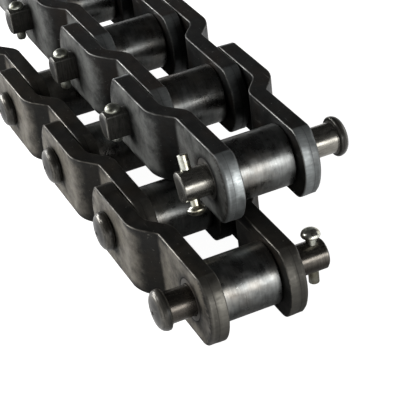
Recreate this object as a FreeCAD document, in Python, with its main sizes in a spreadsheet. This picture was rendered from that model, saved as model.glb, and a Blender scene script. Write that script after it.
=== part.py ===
"""Two strands of offset-sidebar steel roller chain, one resting on the other.

X runs along the chain towards its free end, Y along the pins and Z up. The origin is
below the middle of the pair, on the surface that it lies on. Lengths are millimetres.
"""
import FreeCAD, Part
import math
import os

import Sketcher

LINKS = 4

SIZES = {
    "pitch": 78.1,
    "pin_diameter": 15.88,
    "bushing_wall": 2.78,
    "roller_wall": 4.995,
    "inside_width": 32.0,
    "plate_thickness": 9.5,
    "plate_height": 38.1,
    "corner_reach": 13.8,
    "narrow_flat": 31.5,
    "crank_angle": 38.0,
    "narrow_bend_radius": 3.0,
    "wide_bend_radius": 10.5,
    "link_clearance": 0.5,
    "roller_end_clearance": 0.4,
    "running_clearance": 0.08,
    "seat_clearance": 0.02,
    "head_clearance": 0.3,
    "head_diameter": 20.7,
    "head_height": 6.5,
    "head_rounding": 3.0,
    "head_back_bevel": 1.2,
    "tip_bevel": 0.9,
    "flat_distance": 4.3,
    "rivet_diameter": 5.4,
    "rivet_from_tip": 6.0,
    "rivet_gap": 2.3,
    "rivet_head_diameter": 9.8,
    "rivet_head_height": 3.8,
    "rivet_crown_diameter": 5.4,
    "set_head_diameter": 8.8,
    "set_head_height": 3.8,
    "set_crown_diameter": 5.2,
    "rivet_length": 31.0,
    "rivet_stand_off": 4.0,
    "tail_diameter": 5.6,
    "short_tail": 2.0,
    "long_tail": 4.6,
    "upper_pin_draw": 18.0,
    "lower_pin_draw": 12.9,
    "upper_pin_angle": 158.0,
    "lower_pin_angle": 180.0,
    "strand_lead": 40.0,
    "nest_clearance": 0.5,
    "stack_clearance": 0.3,
}

DERIVED = {
    "pin_radius": "pin_diameter / 2",
    "bushing_bore": "pin_radius + running_clearance",
    "bushing_radius": "bushing_bore + bushing_wall",
    "roller_bore": "bushing_radius + running_clearance",
    "roller_radius": "roller_bore + roller_wall",
    "bushing_hole": "bushing_radius + seat_clearance",
    "pin_hole": "pin_radius + seat_clearance",
    "hole_flat": "flat_distance + seat_clearance",
    "roller_length": "inside_width - 2 * roller_end_clearance",
    "half_height": "plate_height / 2",
    "plate_end_radius": "sqrt(half_height * half_height + corner_reach * corner_reach)",
    "narrow_inner": "inside_width / 2",
    "narrow_outer": "narrow_inner + plate_thickness",
    "wide_inner": "narrow_outer + link_clearance",
    "wide_outer": "wide_inner + plate_thickness",
    "bushing_length": "2 * narrow_outer",
    "crank_step": "wide_outer - narrow_outer",
    "bend_sum": "narrow_bend_radius + wide_bend_radius + plate_thickness",
    "bend_length": "bend_sum * tan(crank_angle / 2)",
    "crank_end": "narrow_flat + bend_length + crank_step / tan(crank_angle)",
    "far_corner": "pitch + corner_reach",
    "blank_height": "half_height + plate_thickness",
    "blank_front": "plate_end_radius + plate_thickness",
    "blank_back": "pitch + plate_end_radius + plate_thickness",
    "shoulder": "wide_outer + head_clearance",
    "set_head_radius": "set_head_diameter / 2",
    "rivet_station": "wide_outer + rivet_gap + set_head_radius",
    "tip": "rivet_station + rivet_from_tip",
    "past_tip": "tip + rivet_from_tip",
    "bevel_start": "tip - tip_bevel",
    "head_radius": "head_diameter / 2",
    "head_face": "shoulder + head_height",
    "back_bevel_end": "shoulder + head_back_bevel",
    "back_bevel_radius": "head_radius - head_back_bevel",
    "rounding_start": "head_face - head_rounding",
    "rounding_inset": "head_rounding * (1 - sqrt(0.5))",
    "rounding_middle": "head_face - rounding_inset",
    "rounding_middle_radius": "head_radius - rounding_inset",
    "head_face_radius": "head_radius - head_rounding",
    "tip_radius": "pin_radius - tip_bevel",
    "rivet_radius": "rivet_diameter / 2",
    "rivet_hole": "rivet_radius + seat_clearance",
    "rivet_head_radius": "rivet_head_diameter / 2",
    "rivet_crown_radius": "rivet_crown_diameter / 2",
    "rivet_seat": "pin_radius + seat_clearance",
    "set_crown_radius": "set_crown_diameter / 2",
    "set_head_top": "rivet_seat + set_head_height",
    "tail_radius": "tail_diameter / 2",
    "short_tail_end": "rivet_seat + short_tail",
    "long_tail_end": "rivet_seat + long_tail",
    "loose_head_seat": "rivet_seat + rivet_stand_off",
    "loose_head_top": "loose_head_seat + rivet_head_height",
    "loose_end": "rivet_length - loose_head_top",
    "upper_pin_shift": "narrow_outer + upper_pin_draw - shoulder",
    "lower_pin_shift": "narrow_outer + lower_pin_draw - shoulder",
    "strand_side_step": "inside_width - nest_clearance",
    "strand_rise": "half_height + roller_radius + stack_clearance",
    "upper_x": f"({LINKS} * pitch - strand_lead) / 2",
    "lower_x": "upper_x + strand_lead",
    "head_reach": "head_face + max(0; upper_pin_shift)",
    "lower_head_reach": "head_face + max(0; lower_pin_shift)",
    "upper_y": "(strand_side_step + lower_head_reach - head_reach) / 2",
    "lower_y": "upper_y - strand_side_step",
    "lower_z": "half_height",
    "upper_z": "lower_z + strand_rise",
}

X_AXIS = FreeCAD.Vector(1, 0, 0)
Y_AXIS = FreeCAD.Vector(0, 1, 0)
Z_AXIS = FreeCAD.Vector(0, 0, 1)

doc = FreeCAD.newDocument("offset_sidebar_chain")
sheet = doc.addObject("Spreadsheet::Sheet", "Sizes")
rows = list(SIZES.items()) + [(name, "=" + rule) for name, rule in DERIVED.items()]
for row, (name, content) in enumerate(rows, start=1):
    sheet.set(f"A{row}", name)
    sheet.set(f"B{row}", str(content))
    sheet.setAlias(f"B{row}", name)
doc.recompute()

sub_parts = []


def size(term):
    """The number behind an alias, which may carry a minus sign."""
    if term == "0":
        return 0.0
    sign = -1.0 if term.startswith("-") else 1.0
    return sign * float(sheet.get(term.lstrip("-")))


def cell(term):
    """The same alias written as an expression."""
    return term.replace("-", "-Sizes.") if term.startswith("-") else "Sizes." + term


def bind(item, prop, term):
    item.setExpression(prop, cell(term))


def new_body(label):
    body = doc.addObject("PartDesign::Body", label)
    body.Label = label
    sub_parts.append(body)
    return body


def new_sketch(body, name, plane):
    sketch = body.newObject("Sketcher::SketchObject", name)
    support = [item for item in body.Origin.OriginFeatures if item.Role == plane][0]
    sketch.AttachmentSupport = [(support, "")]
    sketch.MapMode = "FlatFace"
    return sketch


def fix_coordinate(sketch, kind, geometry, vertex, term):
    """Hold one coordinate of a sketch point to an alias, or to the axis where it is zero."""
    if term == "0":
        axis = -2 if kind == "DistanceX" else -1
        sketch.addConstraint(Sketcher.Constraint("PointOnObject", geometry, vertex, axis))
        return
    rule = Sketcher.Constraint(kind, -1, 1, geometry, vertex, size(term))
    index = sketch.addConstraint(rule)
    bind(sketch, f"Constraints[{index}]", term)


def fix_point(sketch, geometry, vertex, across, up):
    fix_coordinate(sketch, "DistanceX", geometry, vertex, across)
    fix_coordinate(sketch, "DistanceY", geometry, vertex, up)


def fix_radius(sketch, geometry, term):
    index = sketch.addConstraint(Sketcher.Constraint("Radius", geometry, size(term)))
    bind(sketch, f"Constraints[{index}]", term)


def join(sketch, first, first_vertex, second, second_vertex, kind="Coincident"):
    rule = Sketcher.Constraint(kind, first, first_vertex, second, second_vertex)
    sketch.addConstraint(rule)


def point(across, up):
    return FreeCAD.Vector(size(across), size(up), 0)


def draw_circle(sketch, radius, across="0", up="0"):
    circle = sketch.addGeometry(Part.Circle(point(across, up), Z_AXIS, size(radius)), False)
    fix_point(sketch, circle, 3, across, up)
    fix_radius(sketch, circle, radius)


def draw_outline(sketch, corners):
    """A closed outline of straight sides with every corner held by two aliases."""
    count = len(corners)
    first = sketch.GeometryCount
    for step, corner in enumerate(corners):
        following = corners[(step + 1) % count]
        sketch.addGeometry(Part.LineSegment(point(*corner), point(*following)), False)
    for step, corner in enumerate(corners):
        side = first + step
        join(sketch, side, 2, first + (step + 1) % count, 1)
        fix_point(sketch, side, 1, *corner)


def arc(centre, radius, start, end):
    """A circular arc drawn anticlockwise between two angles in radians."""
    return Part.ArcOfCircle(Part.Circle(centre, Z_AXIS, radius), start, end)


def add_feature(body, kind, name, **settings):
    """Add a feature to a body, check that it changed the solid and make it the tip."""
    before = body.Shape.Volume if body.Tip else 0.0
    feature = body.newObject("PartDesign::" + kind, name)
    for prop, setting in settings.items():
        if isinstance(setting, str) and setting in (SIZES | DERIVED):
            bind(feature, prop, setting)
        else:
            setattr(feature, prop, setting)
    body.Tip = feature
    doc.recompute()
    if abs(feature.Shape.Volume - before) < 1e-6:
        raise ValueError(f"{body.Label}: {name} changes nothing")
    return feature


def revolve(body, sketch):
    return add_feature(body, "Revolution", "turned_form", Profile=sketch,
                       ReferenceAxis=(sketch, ["V_Axis"]), Angle=360.0)


def place(body, across, along, above, rotation, step=0):
    """Put a body down at the named coordinates, step pitches back along the strand."""
    body.Placement = FreeCAD.Placement(FreeCAD.Vector(), rotation)
    body.setExpression("Placement.Base.x", f"{cell(across)} - {step} * Sizes.pitch")
    body.setExpression("Placement.Base.y", along)
    body.setExpression("Placement.Base.z", cell(above))


def make_tube(label, radius, bore, length):
    """A plain round tube lying along Y, centred on the chain's middle plane."""
    body = new_body(label)
    ring = new_sketch(body, "ring", "XZ_Plane")
    draw_circle(ring, radius)
    draw_circle(ring, bore)
    add_feature(body, "Pad", "length", Profile=ring, SideType="Symmetric", Length=length)
    return body


def draw_crank(sketch):
    """The sidebar seen from above: a narrow flat, a slope and a wide flat of even thickness.

    Each bend is two arcs about one centre, which lies outside the chain for the sharp bend at
    the narrow flat and inside it for the round one at the wide flat.
    """
    sharp = size("narrow_bend_radius")
    round_in = size("wide_bend_radius")
    sharp_in = sharp + size("plate_thickness")
    round_out = round_in + size("plate_thickness")
    near = FreeCAD.Vector(-size("narrow_flat"), size("narrow_outer") + sharp, 0)
    far = FreeCAD.Vector(-size("crank_end"), size("wide_inner") - round_in, 0)
    angle = math.radians(size("crank_angle"))
    normal = FreeCAD.Vector(math.sin(angle), math.cos(angle), 0)
    quarter = math.pi / 2

    def line(start, end):
        return Part.LineSegment(start, end)

    near_flat_out = FreeCAD.Vector(near.x, size("narrow_outer"), 0)
    near_flat_in = FreeCAD.Vector(near.x, size("narrow_inner"), 0)
    far_flat_out = FreeCAD.Vector(far.x, size("wide_outer"), 0)
    far_flat_in = FreeCAD.Vector(far.x, size("wide_inner"), 0)
    sketch.addGeometry([
        line(point("blank_front", "narrow_inner"), point("blank_front", "narrow_outer")),
        line(point("blank_front", "narrow_outer"), near_flat_out),
        arc(near, sharp, -quarter - angle, -quarter),
        line(near - normal * sharp, far + normal * round_out),
        arc(far, round_out, quarter - angle, quarter),
        line(far_flat_out, point("-blank_back", "wide_outer")),
        line(point("-blank_back", "wide_outer"), point("-blank_back", "wide_inner")),
        line(point("-blank_back", "wide_inner"), far_flat_in),
        arc(far, round_in, quarter - angle, quarter),
        line(far + normal * round_in, near - normal * sharp_in),
        arc(near, sharp_in, -quarter - angle, -quarter),
        line(near_flat_in, point("blank_front", "narrow_inner")),
    ], False)
    for first, second in ((0, 1), (5, 6), (6, 7), (11, 0)):
        join(sketch, first, 2, second, 1)
    for flat, flat_end, bend_arc, arc_end in ((1, 2, 2, 2), (3, 1, 2, 1), (3, 2, 4, 1),
                                              (5, 1, 4, 2), (7, 2, 8, 2), (9, 1, 8, 1),
                                              (9, 2, 10, 1), (11, 1, 10, 2)):
        join(sketch, flat, flat_end, bend_arc, arc_end, "Tangent")
    join(sketch, 2, 3, 10, 3)
    join(sketch, 4, 3, 8, 3)
    for level in (1, 5, 7, 11):
        sketch.addConstraint(Sketcher.Constraint("Horizontal", level))
    for upright in (0, 6):
        sketch.addConstraint(Sketcher.Constraint("Vertical", upright))
    fix_point(sketch, 0, 1, "blank_front", "narrow_inner")
    fix_coordinate(sketch, "DistanceY", 0, 2, "narrow_outer")
    fix_point(sketch, 6, 1, "-blank_back", "wide_outer")
    fix_coordinate(sketch, "DistanceY", 6, 2, "wide_inner")
    fix_coordinate(sketch, "DistanceX", 2, 3, "-narrow_flat")
    fix_coordinate(sketch, "DistanceX", 4, 3, "-crank_end")
    fix_radius(sketch, 2, "narrow_bend_radius")
    fix_radius(sketch, 8, "wide_bend_radius")


def draw_side_outline(sketch):
    """The sidebar seen from the side, inside a frame: flat top and bottom, round ends.

    Each end is an arc about its own pin, and meets the flat edges at a corner.
    """
    reach = size("plate_end_radius")
    turn = math.atan2(size("half_height"), size("corner_reach"))
    sketch.addGeometry([
        Part.LineSegment(point("-far_corner", "half_height"), point("corner_reach", "half_height")),
        arc(FreeCAD.Vector(), reach, -turn, turn),
        Part.LineSegment(point("corner_reach", "-half_height"), point("-far_corner", "-half_height")),
        arc(point("-pitch", "0"), reach, math.pi - turn, math.pi + turn),
    ], False)
    join(sketch, 0, 2, 1, 2)
    join(sketch, 1, 1, 2, 1)
    join(sketch, 2, 2, 3, 2)
    join(sketch, 3, 1, 0, 1)
    sketch.addConstraint(Sketcher.Constraint("Horizontal", 0))
    sketch.addConstraint(Sketcher.Constraint("Horizontal", 2))
    fix_point(sketch, 1, 3, "0", "0")
    fix_point(sketch, 3, 3, "-pitch", "0")
    fix_point(sketch, 1, 2, "corner_reach", "half_height")
    fix_coordinate(sketch, "DistanceY", 1, 1, "-half_height")
    fix_coordinate(sketch, "DistanceX", 3, 1, "-far_corner")
    draw_outline(sketch, [("-blank_back", "-blank_height"), ("blank_front", "-blank_height"),
                          ("blank_front", "blank_height"), ("-blank_back", "blank_height")])


def draw_keyed_hole(sketch):
    """The pin hole with one flat, which stops the pin from turning in the sidebar."""
    radius = size("pin_hole")
    half_angle = math.acos(size("hole_flat") / radius)
    centre = point("-pitch", "0")
    round_side = arc(centre, radius, half_angle, 2 * math.pi - half_angle)
    flat_side = Part.LineSegment(round_side.EndPoint, round_side.StartPoint)
    first = sketch.GeometryCount
    sketch.addGeometry([round_side, flat_side], False)
    join(sketch, first, 2, first + 1, 1)
    join(sketch, first + 1, 2, first, 1)
    sketch.addConstraint(Sketcher.Constraint("Vertical", first + 1))
    fix_point(sketch, first, 3, "-pitch", "0")
    fix_radius(sketch, first, "pin_hole")
    rule = Sketcher.Constraint("DistanceX", first, 3, first + 1, 1, size("hole_flat"))
    index = sketch.addConstraint(rule)
    bind(sketch, f"Constraints[{index}]", "hole_flat")


def make_sidebar(label, keyed):
    """A cranked plate: bent from flat bar, cut to its outline and pierced for bush and pin."""
    body = new_body(label)
    crank = new_sketch(body, "crank", "XY_Plane")
    draw_crank(crank)
    blank = add_feature(body, "Pad", "bent_blank", Profile=crank, SideType="Symmetric",
                        Length=2 * size("blank_height"))
    blank.setExpression("Length", "2 * Sizes.blank_height")
    outline = new_sketch(body, "side_outline", "XZ_Plane")
    draw_side_outline(outline)
    trim = add_feature(body, "Pocket", "trimmed_edges", Profile=outline, SideType="Symmetric",
                       Length=3 * size("wide_outer"))
    trim.setExpression("Length", "3 * Sizes.wide_outer")
    holes = new_sketch(body, "holes", "XZ_Plane")
    draw_circle(holes, "bushing_hole")
    if keyed:
        draw_keyed_hole(holes)
    else:
        draw_circle(holes, "pin_hole", "-pitch")
    drill = add_feature(body, "Pocket", "pierced_holes", Profile=holes, SideType="Symmetric",
                        Length=3 * size("wide_outer"))
    drill.setExpression("Length", "3 * Sizes.wide_outer")
    return body


def make_pin(label):
    """A headed pin lying along Y, with a flat that keys it and a cross hole for its rivet.

    The rounded rim of its head is turned as two bevels that meet on the rounding's arc.
    """
    body = new_body(label)
    profile = new_sketch(body, "profile", "XY_Plane")
    draw_outline(profile, [
        ("0", "-tip"),
        ("tip_radius", "-tip"),
        ("pin_radius", "-bevel_start"),
        ("pin_radius", "shoulder"),
        ("back_bevel_radius", "shoulder"),
        ("head_radius", "back_bevel_end"),
        ("head_radius", "rounding_start"),
        ("rounding_middle_radius", "rounding_middle"),
        ("head_face_radius", "head_face"),
        ("0", "head_face"),
    ])
    turned = revolve(body, profile)
    flat = new_sketch(body, "flat", "XY_Plane")
    draw_outline(flat, [("flat_distance", "-past_tip"), ("head_radius", "-past_tip"),
                        ("head_radius", "-wide_inner"), ("flat_distance", "-wide_inner")])
    milled = add_feature(body, "Pocket", "milled_flat", Profile=flat, SideType="Symmetric",
                         Length="head_diameter")
    cross_hole = new_sketch(body, "cross_hole", "XY_Plane")
    draw_circle(cross_hole, "rivet_hole", "0", "-rivet_station")
    drilled = add_feature(body, "Pocket", "drilled_cross_hole", Profile=cross_hole,
                          SideType="Symmetric", Length="head_diameter")
    if not turned.Shape.Volume > milled.Shape.Volume > drilled.Shape.Volume:
        raise ValueError(f"{label}: the flat or the cross hole removes nothing")
    return body


def make_rivet(label, outline):
    """A rivet standing along Z, turned from its outline: a low cone for the head, then the stem."""
    body = new_body(label)
    profile = new_sketch(body, "profile", "XZ_Plane")
    draw_outline(profile, outline)
    revolve(body, profile)
    return body


def make_set_rivet(label, tail_end):
    """The rivet of a closed joint: hammered down on the pin, with a swollen tail below it."""
    return make_rivet(label, [
        ("0", "set_head_top"),
        ("set_crown_radius", "set_head_top"),
        ("set_head_radius", "rivet_seat"),
        ("rivet_radius", "rivet_seat"),
        ("rivet_radius", "-rivet_seat"),
        ("tail_radius", "-rivet_seat"),
        ("tail_radius", tail_end),
        ("0", tail_end),
    ])


def make_loose_rivet(label):
    """The rivet of the end pin: pushed in by hand, still straight."""
    return make_rivet(label, [
        ("0", "loose_head_top"),
        ("rivet_crown_radius", "loose_head_top"),
        ("rivet_head_radius", "loose_head_seat"),
        ("rivet_radius", "loose_head_seat"),
        ("rivet_radius", "-loose_end"),
        ("0", "-loose_end"),
    ])


def make_strand(name, half_turn):
    """One strand. Its links are numbered from the free end, and half_turn rolls it over.

    The sidebars of a link are one form: the keyed one is the plain one rolled about X.
    """
    upright = FreeCAD.Rotation(X_AXIS, 180.0 * half_turn)
    rolled = FreeCAD.Rotation(X_AXIS, 180.0 * (half_turn + 1))
    out = "-" if half_turn else "+"
    back = "+" if half_turn else "-"
    centre = f"Sizes.{name}_y"
    axes = (f"{name}_x", f"{name}_z")

    for number in range(1, LINKS + 1):
        step = number - 1
        sidebar = make_sidebar(f"{name}_plain_sidebar_{number}", keyed=False)
        place(sidebar, axes[0], centre, axes[1], upright, step)
        sidebar = make_sidebar(f"{name}_keyed_sidebar_{number}", keyed=True)
        place(sidebar, axes[0], centre, axes[1], rolled, step)
        bushing = make_tube(f"{name}_bushing_{number}", "bushing_radius", "bushing_bore",
                            "bushing_length")
        place(bushing, axes[0], centre, axes[1], upright, step)
        roller = make_tube(f"{name}_roller_{number}", "roller_radius", "roller_bore",
                           "roller_length")
        place(roller, axes[0], centre, axes[1], upright, step)

        pin = make_pin(f"{name}_pin_{number}")
        if number == 1:
            rivet = make_loose_rivet(f"{name}_rivet_{number}")
            turn = FreeCAD.Rotation(Y_AXIS, size(f"{name}_pin_angle"))
            rotation = upright.multiply(turn)
            pin_centre = f"{centre} {out} Sizes.{name}_pin_shift"
        else:
            tail_end = "-short_tail_end" if number == 2 else "-long_tail_end"
            rivet = make_set_rivet(f"{name}_rivet_{number}", tail_end)
            rotation = upright
            pin_centre = centre
        place(pin, axes[0], pin_centre, axes[1], rotation, step)
        place(rivet, axes[0], f"{pin_centre} {back} Sizes.rivet_station", axes[1], rotation, step)


make_strand("upper", half_turn=0)
make_strand("lower", half_turn=1)
doc.recompute()

for item in doc.Objects:
    if "Invalid" in item.State or "Error" in item.State:
        raise ValueError(f"{item.Label} did not recompute: {item.State}")
for body in sub_parts:
    if body.Shape.isNull() or not body.Shape.isValid():
        raise ValueError(f"{body.Label} has no valid shape")

os.makedirs("parts", exist_ok=True)
for body in sub_parts:
    body.Shape.exportStep(os.path.join("parts", body.Label + ".step"))
print(len(sub_parts), "sub-parts written")
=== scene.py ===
import math

import bmesh
import bpy
import numpy as np
from mathutils import Matrix, Vector


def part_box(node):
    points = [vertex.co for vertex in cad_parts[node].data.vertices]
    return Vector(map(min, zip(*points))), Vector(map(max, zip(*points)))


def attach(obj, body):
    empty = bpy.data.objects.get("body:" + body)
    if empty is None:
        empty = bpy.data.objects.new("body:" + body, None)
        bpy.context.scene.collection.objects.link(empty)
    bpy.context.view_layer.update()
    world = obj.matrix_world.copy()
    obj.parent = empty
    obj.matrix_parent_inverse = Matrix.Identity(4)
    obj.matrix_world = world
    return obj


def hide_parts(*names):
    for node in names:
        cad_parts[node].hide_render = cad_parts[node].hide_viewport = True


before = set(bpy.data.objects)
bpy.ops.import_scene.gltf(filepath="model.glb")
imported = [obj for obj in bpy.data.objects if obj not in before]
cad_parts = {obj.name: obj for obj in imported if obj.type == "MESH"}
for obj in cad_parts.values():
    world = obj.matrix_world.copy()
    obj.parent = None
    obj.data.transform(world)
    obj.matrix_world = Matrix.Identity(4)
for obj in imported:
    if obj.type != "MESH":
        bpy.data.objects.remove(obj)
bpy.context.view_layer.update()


# The camera stands low in front of the free ends and looks along the strands. Its place and
# turn are those at which the links line up with the photograph; the picture has 400 pixels.
CAMERA_PLACE = (0.7126, -0.2393, 0.4284)
CAMERA_RIGHT = (0.41818, 0.90218, -0.10578)
CAMERA_DOWN = (0.4445, -0.3048, -0.8423)
CAMERA_LOOK = (-0.79218, 0.30522, -0.52848)
FOCAL_PIXELS = 1494.4
PICTURE_PIXELS = 400
SENSOR_MM = 36

camera_data = bpy.data.cameras.new("camera")
camera_data.sensor_width = SENSOR_MM
camera_data.lens = FOCAL_PIXELS / PICTURE_PIXELS * SENSOR_MM
camera = bpy.data.objects.new("camera", camera_data)
bpy.context.scene.collection.objects.link(camera)
turn = Matrix((CAMERA_RIGHT, [-term for term in CAMERA_DOWN], [-term for term in CAMERA_LOOK]))
camera.matrix_world = Matrix.Translation(CAMERA_PLACE) @ turn.transposed().to_4x4()
bpy.context.scene.camera = camera
bpy.context.scene.view_settings.view_transform = "Standard"


# The studio: a white table that curves up into a low wall all round, under a dim ceiling.


# The camera and the steel's reflections see it as paper white. It keeps a faint shadow, and the
# glow that reflections see carries a painted shadow right under the chain.
TABLE_RADIUS = 3.0
WALL_RUN = 1.2
WALL_HEIGHT = 0.9
TABLE_WHITE = 0.8
PAPER_GLOW = 0.97
CEILING_GREY = 0.03
SHADE_HALF = (0.195, 0.035)
SHADE_FADE = 0.05
SHADE_FLOOR = 0.04
TABLE_SECTORS = 96
BOW_STEPS = 8


def new_material(name):
    """A material with an empty tree, and its output node."""
    material = bpy.data.materials.new(name)
    material.use_nodes = True
    tree = material.node_tree
    tree.nodes.clear()
    return material, tree, tree.nodes.new("ShaderNodeOutputMaterial")


def grid_faces(rows, columns, wrap):
    """Corner numbers of the quads between neighbouring rows, closed round the columns if asked."""
    row, column = np.meshgrid(np.arange(rows - 1), np.arange(columns - (not wrap)), indexing="ij")
    following = (column + 1) % columns
    corners = [row * columns + column, row * columns + following,
               (row + 1) * columns + following, (row + 1) * columns + column]
    return np.stack(corners, -1).reshape(-1, 4)


def mesh_object(name, points, faces, marks=None):
    """A mesh from arrays: doubled points are merged and the faces turned outwards."""
    mesh = bpy.data.meshes.new(name)
    mesh.from_pydata(points.reshape(-1, 3).tolist(), [], faces.tolist())
    for label, strengths in (marks or {}).items():
        layer = mesh.attributes.new(label, "FLOAT", "POINT")
        layer.data.foreach_set("value", np.ravel(strengths).astype(np.float32))
    work = bmesh.new()
    work.from_mesh(mesh)
    bmesh.ops.remove_doubles(work, verts=work.verts, dist=1e-6)
    bmesh.ops.dissolve_degenerate(work, edges=work.edges, dist=1e-7)
    bmesh.ops.recalc_face_normals(work, faces=work.faces)
    for face in work.faces:
        face.smooth = True
    work.to_mesh(mesh)
    work.free()
    thing = bpy.data.objects.new(name, mesh)
    bpy.context.scene.collection.objects.link(thing)
    return thing


def math_node(tree, operation, first, second):
    """One arithmetic node; each term is a socket or a number."""
    node = tree.nodes.new("ShaderNodeMath")
    node.operation = operation
    for index, term in enumerate((first, second)):
        if isinstance(term, (int, float)):
            node.inputs[index].default_value = term
        else:
            tree.links.new(term, node.inputs[index])
    return node.outputs[0]


def ramp_node(tree, source, low, high, start=0.0, end=1.0):
    """A number carried from the span low..high onto start..end and held inside it."""
    node = tree.nodes.new("ShaderNodeMapRange")
    tree.links.new(source, node.inputs["Value"])
    for label, term in (("From Min", low), ("From Max", high), ("To Min", start), ("To Max", end)):
        node.inputs[label].default_value = term
    return node.outputs["Result"]


around = np.linspace(0, 2 * math.pi, TABLE_SECTORS + 1)[:-1]
bow = np.linspace(0, math.pi / 2, BOW_STEPS + 1)
table_reach = np.concatenate([[0.0], TABLE_RADIUS + WALL_RUN * np.sin(bow)])
table_rise = np.concatenate([[0.0], WALL_HEIGHT * (1 - np.cos(bow))])
table_points = np.stack([table_reach[:, None] * np.cos(around),
                         table_reach[:, None] * np.sin(around),
                         np.repeat(table_rise[:, None], len(around), 1)], -1)
table = mesh_object("table", table_points, grid_faces(len(table_reach), len(around), True))

paper, tree, output = new_material("white_paper")
diffuse = tree.nodes.new("ShaderNodeBsdfDiffuse")
diffuse.inputs["Color"].default_value = (TABLE_WHITE, TABLE_WHITE, TABLE_WHITE, 1)
glow = tree.nodes.new("ShaderNodeEmission")
rays = tree.nodes.new("ShaderNodeLightPath")

# How far a point of the table lies outside the chain's footprint: the glow that reflections see is
# a painted shadow, dark on the footprint and brightening away from it.
spot = tree.nodes.new("ShaderNodeSeparateXYZ")
tree.links.new(tree.nodes.new("ShaderNodeTexCoord").outputs["Object"], spot.inputs[0])
outside = []
for axis, half in enumerate(SHADE_HALF):
    reach = math_node(tree, "SUBTRACT", math_node(tree, "ABSOLUTE", spot.outputs[axis], 0.0), half)
    outside.append(math_node(tree, "POWER", math_node(tree, "MAXIMUM", reach, 0.0), 2.0))
distance = math_node(tree, "POWER", math_node(tree, "ADD", *outside), 0.5)
mirrored_with_painted_shadow = math_node(tree, "MULTIPLY", rays.outputs["Is Glossy Ray"],
                     ramp_node(tree, distance, 0.0, SHADE_FADE, SHADE_FLOOR, 1.0))

# The glow is there for the camera and for reflections, and it lights nothing by itself.
seen = math_node(tree, "MAXIMUM", rays.outputs["Is Camera Ray"], mirrored_with_painted_shadow)
seen = math_node(tree, "MAXIMUM", seen, rays.outputs["Is Transmission Ray"])
tree.links.new(math_node(tree, "MULTIPLY", seen, PAPER_GLOW), glow.inputs["Strength"])
both = tree.nodes.new("ShaderNodeAddShader")
tree.links.new(diffuse.outputs[0], both.inputs[0])
tree.links.new(glow.outputs[0], both.inputs[1])
tree.links.new(both.outputs[0], output.inputs["Surface"])
paper.cycles.emission_sampling = "NONE"
table.data.materials.append(paper)

world = bpy.data.worlds.new("ceiling")
world.use_nodes = True
sky = world.node_tree.nodes["Background"]
sky.inputs["Color"].default_value = (1, 1, 1, 1)
sky.inputs["Strength"].default_value = CEILING_GREY
bpy.context.scene.world = world


# Four soft boxes: a broad low one in front of the free ends, which the rollers and plate rims
# mirror, a large one far back on the left, which lights the near sidebars' flats but not their
# slopes, a small high one, which puts a spot on each pin head, and one behind for the far side.
LAMPS = [
    ("front_box", (1.40, 0.26, 0.30), (1.30, 0.50), 9.5),
    ("side_box", (-1.20, -0.95, 0.38), (1.40, 0.60), 28.0),
    ("spot_box", (-0.42, -1.00, 0.82), (0.36, 0.30), 4.0),
    ("back_box", (0.05, 1.50, 0.45), (0.80, 0.60), 2.5),
]
for name, place, (width, height), power in LAMPS:
    lamp_data = bpy.data.lights.new(name, "AREA")
    lamp_data.shape = "ELLIPSE"
    lamp_data.size = width
    lamp_data.size_y = height
    lamp_data.energy = power
    lamp = bpy.data.objects.new(name, lamp_data)
    bpy.context.scene.collection.objects.link(lamp)
    lamp.location = place
    lamp.rotation_euler = Vector(place).to_track_quat("Z", "Y").to_euler()


# Steel as it comes from the quench: a thin dark scale, mottled grey and brown, with a fine
# grain. Every steel piece takes its colour, roughness and relief from this one group.
# Its colour also holds painted light: a sheen where the rub mark is high, and painted shade, with
# grime, where the wear mark is negative.
RUB_LOOSENS = 0.16
NICK_SHARE = 0.55
NICK_DEPTH = 0.5
GRAIN_RELIEF = 0.35
DRAG_RELIEF = 0.45
GRIME_AND_SHADOW_TONE = 0.12
GRIME_ROUGHNESS = 0.4
BARE_POLISH = 0.06


def new_group(name, sockets_in, sockets_out):
    """A shader node group with named number or colour inputs and outputs."""
    group = bpy.data.node_groups.new(name, "ShaderNodeTree")
    for label, kind, preset in sockets_in:
        socket = group.interface.new_socket(label, in_out="INPUT", socket_type="NodeSocket" + kind)
        if preset is not None:
            socket.default_value = preset
    for label, kind in sockets_out:
        group.interface.new_socket(label, in_out="OUTPUT", socket_type="NodeSocket" + kind)
    return group, group.nodes.new("NodeGroupInput"), group.nodes.new("NodeGroupOutput")


def mix_colours(tree, share, first, second):
    """Two colours mixed by a share; each may be a socket or a fixed colour."""
    node = tree.nodes.new("ShaderNodeMix")
    node.data_type = "RGBA"
    tree.links.new(share, node.inputs["Factor"])
    for label, colour in ((6, first), (7, second)):
        if isinstance(colour, tuple):
            node.inputs[label].default_value = (*colour, 1)
        else:
            tree.links.new(colour, node.inputs[label])
    return node.outputs[2]


def noise_node(tree, coordinates, scale, detail=4.0, rough=0.55, stretch=None):
    """Fractal noise on the piece's own coordinates, which may first be stretched."""
    if stretch:
        mapping = tree.nodes.new("ShaderNodeMapping")
        if isinstance(stretch, tuple):
            mapping.inputs["Scale"].default_value = stretch
        else:
            tree.links.new(stretch, mapping.inputs["Scale"])
        tree.links.new(coordinates, mapping.inputs["Vector"])
        coordinates = mapping.outputs["Vector"]
    node = tree.nodes.new("ShaderNodeTexNoise")
    node.inputs["Scale"].default_value = scale
    node.inputs["Detail"].default_value = detail
    node.inputs["Roughness"].default_value = rough
    tree.links.new(coordinates, node.inputs["Vector"])
    return node.outputs["Fac"]


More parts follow.
